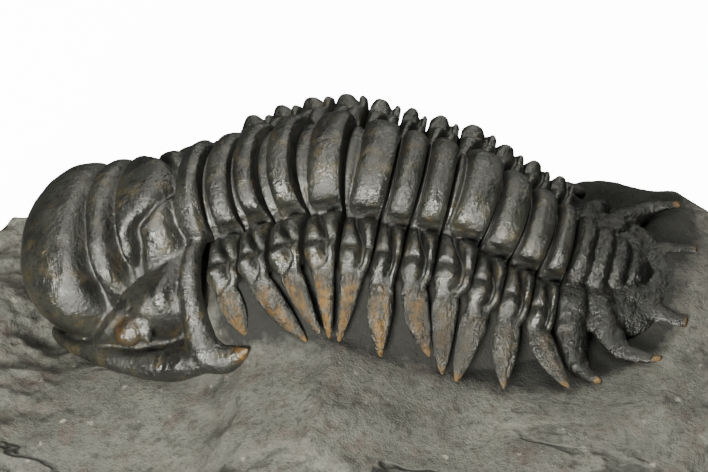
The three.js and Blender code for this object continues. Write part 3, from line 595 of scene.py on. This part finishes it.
# %% The block as one closed grid
COLUMNS, ROWS, WALL = 230, 145, 50
RIM_X, RIM_Y, RIM_DROP = 31, 19, 3.4  # the rim takes 1/31 of the length and 1/19 of the depth
BLOCK_MIDDLE = [0, -8]


def block_surface():
    """A grid for the top, with its rim rounded off, and rows of points from the rim down to the flat base."""
    i, j = np.meshgrid(np.arange(COLUMNS + 1) / COLUMNS, np.arange(ROWS + 1) / ROWS)
    x = mix(BLOCK_X[0], BLOCK_X[1], i)
    y = mix(through(NEAR_EDGE, x), through(FAR_EDGE, x), j)
    cells = np.minimum(np.minimum(i, 1 - i) * RIM_X, np.minimum(j, 1 - j) * RIM_Y)
    rim_drop = np.clip(1 - cells, 0, 1) ** 1.6
    z = rock_height(x, y) - rim_drop * (RIM_DROP + undulation(2 * y, 2 * x))
    top = np.stack([x + 0.5 * (1 - rim_drop) * undulation(3 * y, x), y, z], -1).reshape(-1, 3)
    wide = COLUMNS + 1
    rim = np.concatenate([np.arange(COLUMNS), np.arange(ROWS) * wide + COLUMNS,
                          ROWS * wide + np.arange(COLUMNS, 0, -1), np.arange(ROWS, 0, -1) * wide])
    edge = top[rim]
    out = edge[:, :2] - BLOCK_MIDDLE
    out /= np.linalg.norm(out, axis=1, keepdims=True)
    share = np.linspace(0, 1, WALL + 1)[1:, None]
    swell = np.interp(share, [0, 0.35, 0.8, 1], [0, 1.2, 0.6, -0.8])
    wave = 0.8 * undulation(edge[:, 0] * 1.7 + 9 * share, edge[:, 1] * 1.9 - 5 * share)
    wave = wave * smoothstep(share, 0, 0.3) * (1 - smoothstep(share, 0.8, 1))
    flat = edge[None, :, :2] + out[None] * (swell + wave)[..., None]
    wall = np.concatenate([flat, mix(edge[None, :, 2:], BLOCK_BASE, share[..., None])], -1)
    points = np.concatenate([top, wall.reshape(-1, 3), [BLOCK_MIDDLE + [BLOCK_BASE]]])
    count = len(rim)
    first = np.concatenate([rim[None], len(top) + np.arange(WALL * count).reshape(WALL, count)])
    a, b = first[:-1], np.roll(first[:-1], -1, 1)
    c, d = first[1:], np.roll(first[1:], -1, 1)
    walls = np.stack([a, c, d, b], -1).reshape(-1, 4)
    foot = first[-1]
    base = np.stack([foot, np.full(count, len(points) - 1), np.roll(foot, -1)], -1)
    return points, grid_faces(ROWS + 1, wide, False).tolist() + walls.tolist() + base.tolist()


# Where the rock is painted near black next to the body
DARK_BY_BODY_REACH = [(-8, 15), (0, 15.5), (28, 15.5), (36, 10), (42, 5)]  # place, and how far from the axis it reaches
FAR_DARK_BY_BODY_REACH = 5


def roughen(piece):
    """Moves each point along its normal: sharp breaks in the outer zone, and low scribe marks and waves
    elsewhere. It also keeps where the rock is painted near black next to the body, and where it is broken,
    for the finish."""
    mesh = piece.data
    count = len(mesh.vertices)
    flat, normal = np.empty(count * 3), np.empty(count * 3)
    mesh.vertices.foreach_get("co", flat)
    mesh.vertices.foreach_get("normal", normal)
    points, normal = flat.reshape(-1, 3) / MM - ORIGIN, normal.reshape(-1, 3)
    x, y, z = points.T
    left, right = smoothstep(-x, 25, 33), smoothstep(x, 41, 44)
    wild = np.maximum.reduce([left, right, smoothstep(-y, 27, 33), smoothstep(y, 17, 21)])
    wild = wild * smoothstep(z, BLOCK_BASE + 0.5, BLOCK_BASE + 3)  # the sawn base stays flat
    ridges = 1 - 2 * np.abs(layered_noise(points * [0.7, 1, 1.6], 7.0, 5, seed=3, rough=0.55))
    scribe = layered_noise(points * [1.4, 0.8, 1], 1.3, 3, seed=9)
    waves = layered_noise(points, 6.0, 3, seed=21)
    calm = (1 - wild) * (0.05 * scribe + 0.16 * waves) * smoothstep(z, BLOCK_BASE, BLOCK_BASE + 1)
    move = wild * (0.75 * ridges - 0.3) + calm
    far = smoothstep(y, 1, 5) * smoothstep(x, 24, 30)  # the near black reaches over all of the hollow behind the tail
    reach = np.interp(x, *np.array(DARK_BY_BODY_REACH).T) + FAR_DARK_BY_BODY_REACH * far
    dark_by_body = smoothstep(x, -13, -8) * (1 - smoothstep(np.abs(y) - reach, -2.5, 4.5))
    dark_by_body = dark_by_body * (1 - smoothstep(x - far, 34, 43))
    broken = np.maximum(smoothstep(-x, 22, 32), smoothstep(-y, 20, 28))
    for name, values in (("dark_by_body", dark_by_body), ("broken", broken)):
        mesh.attributes.new(name, "FLOAT", "POINT").data.foreach_set("value", values.astype(np.float32))
    moved = (points + normal * move[:, None] + ORIGIN) * MM
    mesh.vertices.foreach_set("co", moved.reshape(-1))
    mesh.update()


rock = make_piece("rock_matrix", [block_surface()], "matrix")
roughen(rock)
print("rock faces:", len(rock.data.polygons))

# %% [markdown]
# ## Finishes
# Shader maths reads best as ordinary sums. A small class wraps a socket, so that 1 - mask or 2 * noise adds
# the Math nodes, and one method makes every other node from its type, its settings and its sockets.


# %% A wire that can be used in sums, and the finish that it belongs to
class Wire:
    """A socket that gives a value. Each operator adds the Math node of its name."""

    def __init__(self, finish, socket):
        self.finish, self.socket = finish, socket

    def sum(self, operation, a, b=0.0, clamp=False):
        """One Math node on a and b."""
        return self.finish.node("ShaderNodeMath", {"operation": operation, "use_clamp": clamp}, {0: a, 1: b})

    def __add__(self, other):
        return self.sum("ADD", self, other)

    def __sub__(self, other):
        return self.sum("SUBTRACT", self, other)

    def __rsub__(self, other):
        return self.sum("SUBTRACT", other, self)

    def __mul__(self, other):
        return self.sum("MULTIPLY", self, other)

    __radd__ = __add__
    __rmul__ = __mul__

    def clip(self):
        """Kept between 0 and 1."""
        return self.sum("ADD", self, 0.0, clamp=True)

    def unsigned(self):
        """The value without its sign."""
        return self.sum("ABSOLUTE", self)

    def between(self, low, high):
        """0 below low, 1 above high, and an even S between them."""
        return self.finish.node("ShaderNodeMapRange", {"interpolation_type": "SMOOTHSTEP"},
                                {"Value": self, "From Min": low, "From Max": high})


class Finish:
    """A material with one shader, whose patterns lie on Object coordinates or on the piece's own values."""

    def __init__(self, name):
        self.material = bpy.data.materials.new(name)
        self.material.use_nodes = True
        self.tree = self.material.node_tree
        self.shader = self.tree.nodes["Principled BSDF"]
        self.where = self.node("ShaderNodeTexCoord", out="Object")

    def node(self, kind, settings=None, sockets=None, out=0):
        """Any node, from its type, its settings and its sockets, as the wire of one of its outputs."""
        made = self.tree.nodes.new(kind)
        for key, value in (settings or {}).items():
            setattr(made, key, value)
        for key, value in (sockets or {}).items():
            self.feed(made.inputs[key], value)
        return Wire(self, made.outputs[out])

    def feed(self, socket, value):
        """Links a wire to the socket, or sets a plain value on it."""
        if isinstance(value, Wire):
            self.tree.links.new(value.socket, socket)
        else:
            socket.default_value = value

    def noise(self, size, detail=3.0, stretch=(1, 1, 1), rough=0.5, distortion=0.0):
        """Noise whose lumps are about size mm across, from 0 to 1."""
        spread = self.node("ShaderNodeVectorMath", {"operation": "MULTIPLY"}, {0: self.where, 1: stretch})
        sockets = {"Vector": spread, "Scale": 1 / (size * MM), "Detail": detail, "Roughness": rough,
                   "Distortion": distortion}
        return self.node("ShaderNodeTexNoise", None, sockets)

    def specks(self, size):
        """Distance from the nearest of points scattered about size mm apart, in shares of that size."""
        sockets = {"Vector": self.where, "Scale": 1 / (size * MM)}
        return self.node("ShaderNodeTexVoronoi", {"feature": "F1"}, sockets, out="Distance")

    def mix(self, share, a, b):
        """From colour a at share 0 to colour b at share 1."""
        return self.node("ShaderNodeMix", {"data_type": "RGBA"}, {0: share, 6: a, 7: b}, out=2)

    def attribute(self, name):
        """The value that the mesh keeps under this name."""
        return self.node("ShaderNodeAttribute", {"attribute_name": name}, out="Fac")

    def crevice_dirt_and_shade(self, reach):
        """1 in hollows that are narrow for their depth, from how much of the sky their sides block: where
        black dirt and painted shade go.
        """
        sockets = {"Distance": reach * MM}
        open_sky = self.node("ShaderNodeAmbientOcclusion", {"samples": 5}, sockets, out="AO")
        return 1 - open_sky.between(0.2, 0.8)

    def near(self, point, radius):
        """1 at a point given in the line's frame, falling to 0 at radius mm from it."""
        sockets = {0: self.where, 1: tuple((np.asarray(point) + ORIGIN) * MM)}
        away = self.node("ShaderNodeVectorMath", {"operation": "DISTANCE"}, sockets, out="Value")
        return 1 - away.between(0.35 * radius * MM, radius * MM)

    def near_any(self, points, radius, strength=1.0):
        """The sum of near over several points, times strength."""
        first, *others = (strength * self.near(point, radius) for point in points)
        return sum(others, first)

    def bump(self, height, depth, strength=1.0):
        """Relief of that depth in mm at height 1."""
        sockets = {"Strength": strength, "Distance": depth * MM, "Height": height}
        return self.node("ShaderNodeBump", None, sockets)

    def set(self, **values):
        """Sets or links the shader's own sockets, named with _ for each space."""
        for key, value in values.items():
            self.feed(self.shader.inputs[key.replace("_", " ")], value)


# %% The shell: dark calcite with a fine grain, and black dirt with painted shade in its crevices
COAL, SLATE, OLIVE = (0.01, 0.0102, 0.009, 1), (0.026, 0.027, 0.022, 1), (0.055, 0.043, 0.021, 1)
# The last colour is the shell's own black, and also the painted shade in its crevices
OCHRE, RUST, BLACK_AND_SHADE = (0.165, 0.08, 0.002, 1), (0.05, 0.018, 0.003, 1), (0.004, 0.004, 0.004, 1)
SHELL_RELIEF, CREVICE_REACH = 0.27, 1.6
TAIL_PITS, TAIL_GLOSS = 0.9, 1.55  # the tail is etched, and a little duller
EYE_OCHRE, SPINE_OCHRE, TIP_OCHRE = 2.3, 1.9, 1.1  # how far the ochre reaches from an eye, a spine or a tip


def shell_finish(name, ochre, pits=0.0, gloss=1.75):
    """ochre(finish) gives the share of bare ochre calcite at each place; pits is the depth of coarse etching,
    and gloss the refractive index of the polished skin."""
    shell = Finish(name)
    cloud, blotch, grain = shell.noise(6, 3), shell.noise(1.9, 4), shell.noise(0.42, 4, rough=0.7)
    base = shell.mix(cloud.between(0.35, 0.68), COAL, SLATE)
    base = shell.mix(blotch.between(0.5, 0.75) * 0.75, base, OLIVE)
    base = shell.mix(shell.noise(0.55, 3).between(0.52, 0.72) * 0.6, base, BLACK_AND_SHADE)
    if pits:
        base = shell.mix(0.75, base, BLACK_AND_SHADE)
    share = (ochre(shell) * (4.4 * shell.noise(1.1, 5, rough=0.7) - 1.7)).clip()
    tint = shell.mix(grain.between(0.42, 0.66) * 0.75, OCHRE, RUST)
    base = shell.mix(share, base, tint)
    spine, crevice_dirt_and_shade = shell.attribute("spine"), shell.crevice_dirt_and_shade(CREVICE_REACH)
    # Painted shade: the crevices turn near black as if shaded, together with the black dirt that the furrows
    # hold
    base = shell.mix(0.9 * crevice_dirt_and_shade, base, BLACK_AND_SHADE)
    wrinkles = shell.noise(0.85, 4, stretch=(1, 1, 0.6), rough=0.62, distortion=0.5)
    wet = shell.noise(3.2, 2).between(0.35, 0.65)
    relief = (0.75 - 0.5 * wet) * grain + (0.25 + 0.85 * wet) * wrinkles + 0.3 * shell.noise(2.4, 2)
    if pits:
        relief = relief + pits * shell.noise(0.6, 3, rough=0.7)
    dull = 0.27 - 0.13 * wet + 0.12 * grain + 0.34 * share + 0.08 * spine + 0.3 * crevice_dirt_and_shade
    shell.set(Base_Color=base, Roughness=dull, Normal=shell.bump(relief * (1 + 1.4 * spine), SHELL_RELIEF))
    shell.set(IOR=gloss)
    return shell.material


def thorax_ochre(shell):
    """Ochre where the plates' own values say so."""
    return shell.attribute("ochre")


def head_ochre(shell):
    """Ochre on both eyes and at the ends of both genal spines."""
    return shell.near_any(eye_at, EYE_OCHRE, 0.6) + shell.near_any(genal_at, SPINE_OCHRE)


def tail_ochre(shell):
    """Ochre at the six spine tips."""
    return shell.near_any(tip_at, TIP_OCHRE)


both_sides = (-1, 1)
eye_at = [place(EYE_PLACE * [1, side, 1], *HEAD) for side in both_sides]
genal_at = [place(np.array([2.2, 16.5 * side, -8.9]), *HEAD) for side in both_sides]
tips = [np.array(spine[-1][:3]) for spine in TAIL_SPINES]
tip_at = [place(tip * [1, side, 1], *TAIL) for tip in tips for side in both_sides]
thorax_finish = shell_finish("shell_thorax", thorax_ochre)
head_finish = shell_finish("shell_head", head_ochre)
tail_finish = shell_finish("shell_tail", tail_ochre, TAIL_PITS, TAIL_GLOSS)
for piece in segments:
    piece.data.materials.append(thorax_finish)
cephalon.data.materials.append(head_finish)
pygidium.data.materials.append(tail_finish)
print("shell finishes:", [finish.name for finish in (thorax_finish, head_finish, tail_finish)])

# %% [markdown]
# The limestone is grey with warm and pale patches, small white flecks and cracks where it is broken, and it
# is painted near black next to the body, between the spines and in the hollow behind the tail. A photo
# texture would stretch on the walls of the block, so each of them is a noise of its own size, laid one over
# the other as a thin glaze.

# %% The rock: matt grey limestone with pale flecks
STONE, PALE = (0.066, 0.066, 0.058, 1), (0.115, 0.115, 0.1, 1)
WARM, SHADE = (0.078, 0.066, 0.058, 1), (0.024, 0.024, 0.021, 1)
FLECK, BED_PALE = (0.34, 0.32, 0.27, 1), (0.17, 0.165, 0.14, 1)
CRACK_DARK, DARK_BY_BODY_COLOUR = (0.012, 0.012, 0.011, 1), (0.009, 0.009, 0.008, 1)
ROCK_RELIEF = 0.4
stone = Finish("limestone")
patch, mottle = stone.noise(11, 4, rough=0.6), stone.noise(3.2, 5, rough=0.62)
fine = stone.noise(0.6, 4, rough=0.7)
colour = stone.mix(patch.between(0.35, 0.68), STONE, PALE)
colour = stone.mix(0.4 * stone.attribute("broken"), colour, PALE)
colour = stone.mix(mottle.between(0.48, 0.66) * 0.9, colour, WARM)
colour = stone.mix(stone.noise(1.9, 4, rough=0.6).between(0.52, 0.7) * 0.6, colour, SHADE)
colour = stone.mix(fine.between(0.45, 0.75) * 0.8, colour, SHADE)
flecks = (1 - stone.specks(2.3).between(0.1, 0.22)) * stone.noise(1.1).between(0.5, 0.7)
colour = stone.mix(flecks * 0.7, colour, FLECK)
wander = stone.noise(24, 5, stretch=(0.4, 1, 1.6), rough=0.5)
crack = (1 - (wander - 0.5).unsigned().between(0.0015, 0.011)) * stone.noise(7, 2).between(0.36, 0.5)
crack = crack * (0.15 + 0.85 * stone.attribute("broken"))
colour = stone.mix(crack * 0.85, colour, CRACK_DARK)
pale_bed = stone.noise(5, 4, stretch=(0.4, 1, 1.5), rough=0.6).between(0.56, 0.72)
colour = stone.mix(pale_bed * 0.4, colour, BED_PALE)
# The rock turns near black next to the body, between the spines and in the hollow behind the tail
dark_by_body = (2.6 * stone.attribute("dark_by_body") - 1.6 + 1.7 * stone.noise(1.3, 4, rough=0.65)).clip()
colour = stone.mix(dark_by_body, colour, DARK_BY_BODY_COLOUR)
relief = 0.9 * mottle + 0.5 * fine + 0.25 * stone.noise(0.22, 3) - 1.2 * crack
stone.set(Base_Color=colour, Roughness=0.72 + 0.25 * fine, Normal=stone.bump(relief, ROCK_RELIEF, 0.9))
rock.data.materials.append(stone.material)
print("rock nodes:", len(stone.tree.nodes))

# %% [markdown]
# ## Floor, light and camera
# The floor is white paper with a glow of its own, which keeps it white behind the block, and it is kept
# out of the shell's reflections. A low soft light in front draws the long highlights on the rings, a wide one
# overhead fills the tops, and a weak one behind parts the far bosses from each other.

# %% The stage
PAPER_GLOW, STUDIO_GLOW = 13.0, 0.09
WHITE = (1, 1, 1, 1)
bpy.ops.mesh.primitive_plane_add(size=3)
floor = bpy.context.object
floor.name = "floor"
paper = Finish("paper_floor")
paper.set(Base_Color=(0.93, 0.93, 0.93, 1), Roughness=0.9)
paper.set(Emission_Color=WHITE, Emission_Strength=PAPER_GLOW)
floor.data.materials.append(paper.material)
floor.visible_glossy = floor.visible_diffuse = False  # its white doesn't light or haze the dark shell

world = bpy.data.worlds.new("studio")
bpy.context.scene.world = world
world.use_nodes = True
world.node_tree.nodes["Background"].inputs["Color"].default_value = WHITE
world.node_tree.nodes["Background"].inputs["Strength"].default_value = STUDIO_GLOW

AZIMUTH, ELEVATION, DISTANCE, PIXELS_PER_MM = 8.5, 45.0, 420.0, 9.3
CREST_PIXEL, PHOTO_SIZE, SENSOR = (333, 167), (708, 472), 36.0
turn, lift = math.radians(AZIMUTH), math.radians(ELEVATION)
RIGHT = np.array([math.cos(turn), math.sin(turn), 0])
BACK = np.array([math.sin(turn) * math.cos(lift), -math.cos(turn) * math.cos(lift), math.sin(lift)])
UP = np.cross(BACK, RIGHT)


def soft_light(name, direction, distance, size, power):
    """A square area light that looks at the crest of the body line from a direction in the row frame."""
    data = bpy.data.lights.new(name, "AREA")
    data.size, data.energy, data.color = size, power, LIGHT_COLOUR
    lamp = bpy.data.objects.new(name, data)
    bpy.context.scene.collection.objects.link(lamp)
    way = np.array(direction, float)
    way /= np.linalg.norm(way)
    lamp.location = Vector(ORIGIN * MM + way * distance)
    lamp.rotation_euler = Vector(way).to_track_quat("Z", "Y").to_euler()


# %% Three lights and the camera
LIGHT_COLOUR = (1.0, 1.0, 0.9)
soft_light("front", (-0.15, -0.95, 0.36), 0.5, 0.18, 7.8)
soft_light("overhead", (-0.15, 0.0, 1.0), 0.6, 0.4, 3)
soft_light("behind", (0.2, 0.9, 0.5), 0.6, 0.4, 1.3)

camera = bpy.data.objects.new("camera", bpy.data.cameras.new("camera"))
bpy.context.scene.collection.objects.link(camera)
centre = (np.array(PHOTO_SIZE) / 2 - CREST_PIXEL) / PIXELS_PER_MM
aim = ORIGIN + RIGHT * centre[0] - UP * centre[1]
camera.location = Vector((aim + BACK * DISTANCE) * MM)
camera.rotation_euler = Vector(BACK).to_track_quat("Z", "Y").to_euler()
camera.data.sensor_width = SENSOR
camera.data.lens = SENSOR * DISTANCE / (PHOTO_SIZE[0] / PIXELS_PER_MM)
camera.data.clip_start, camera.data.clip_end = 0.01, 10
bpy.context.scene.camera = camera
print("camera at", [round(v, 3) for v in camera.location], "lens", round(camera.data.lens, 1))
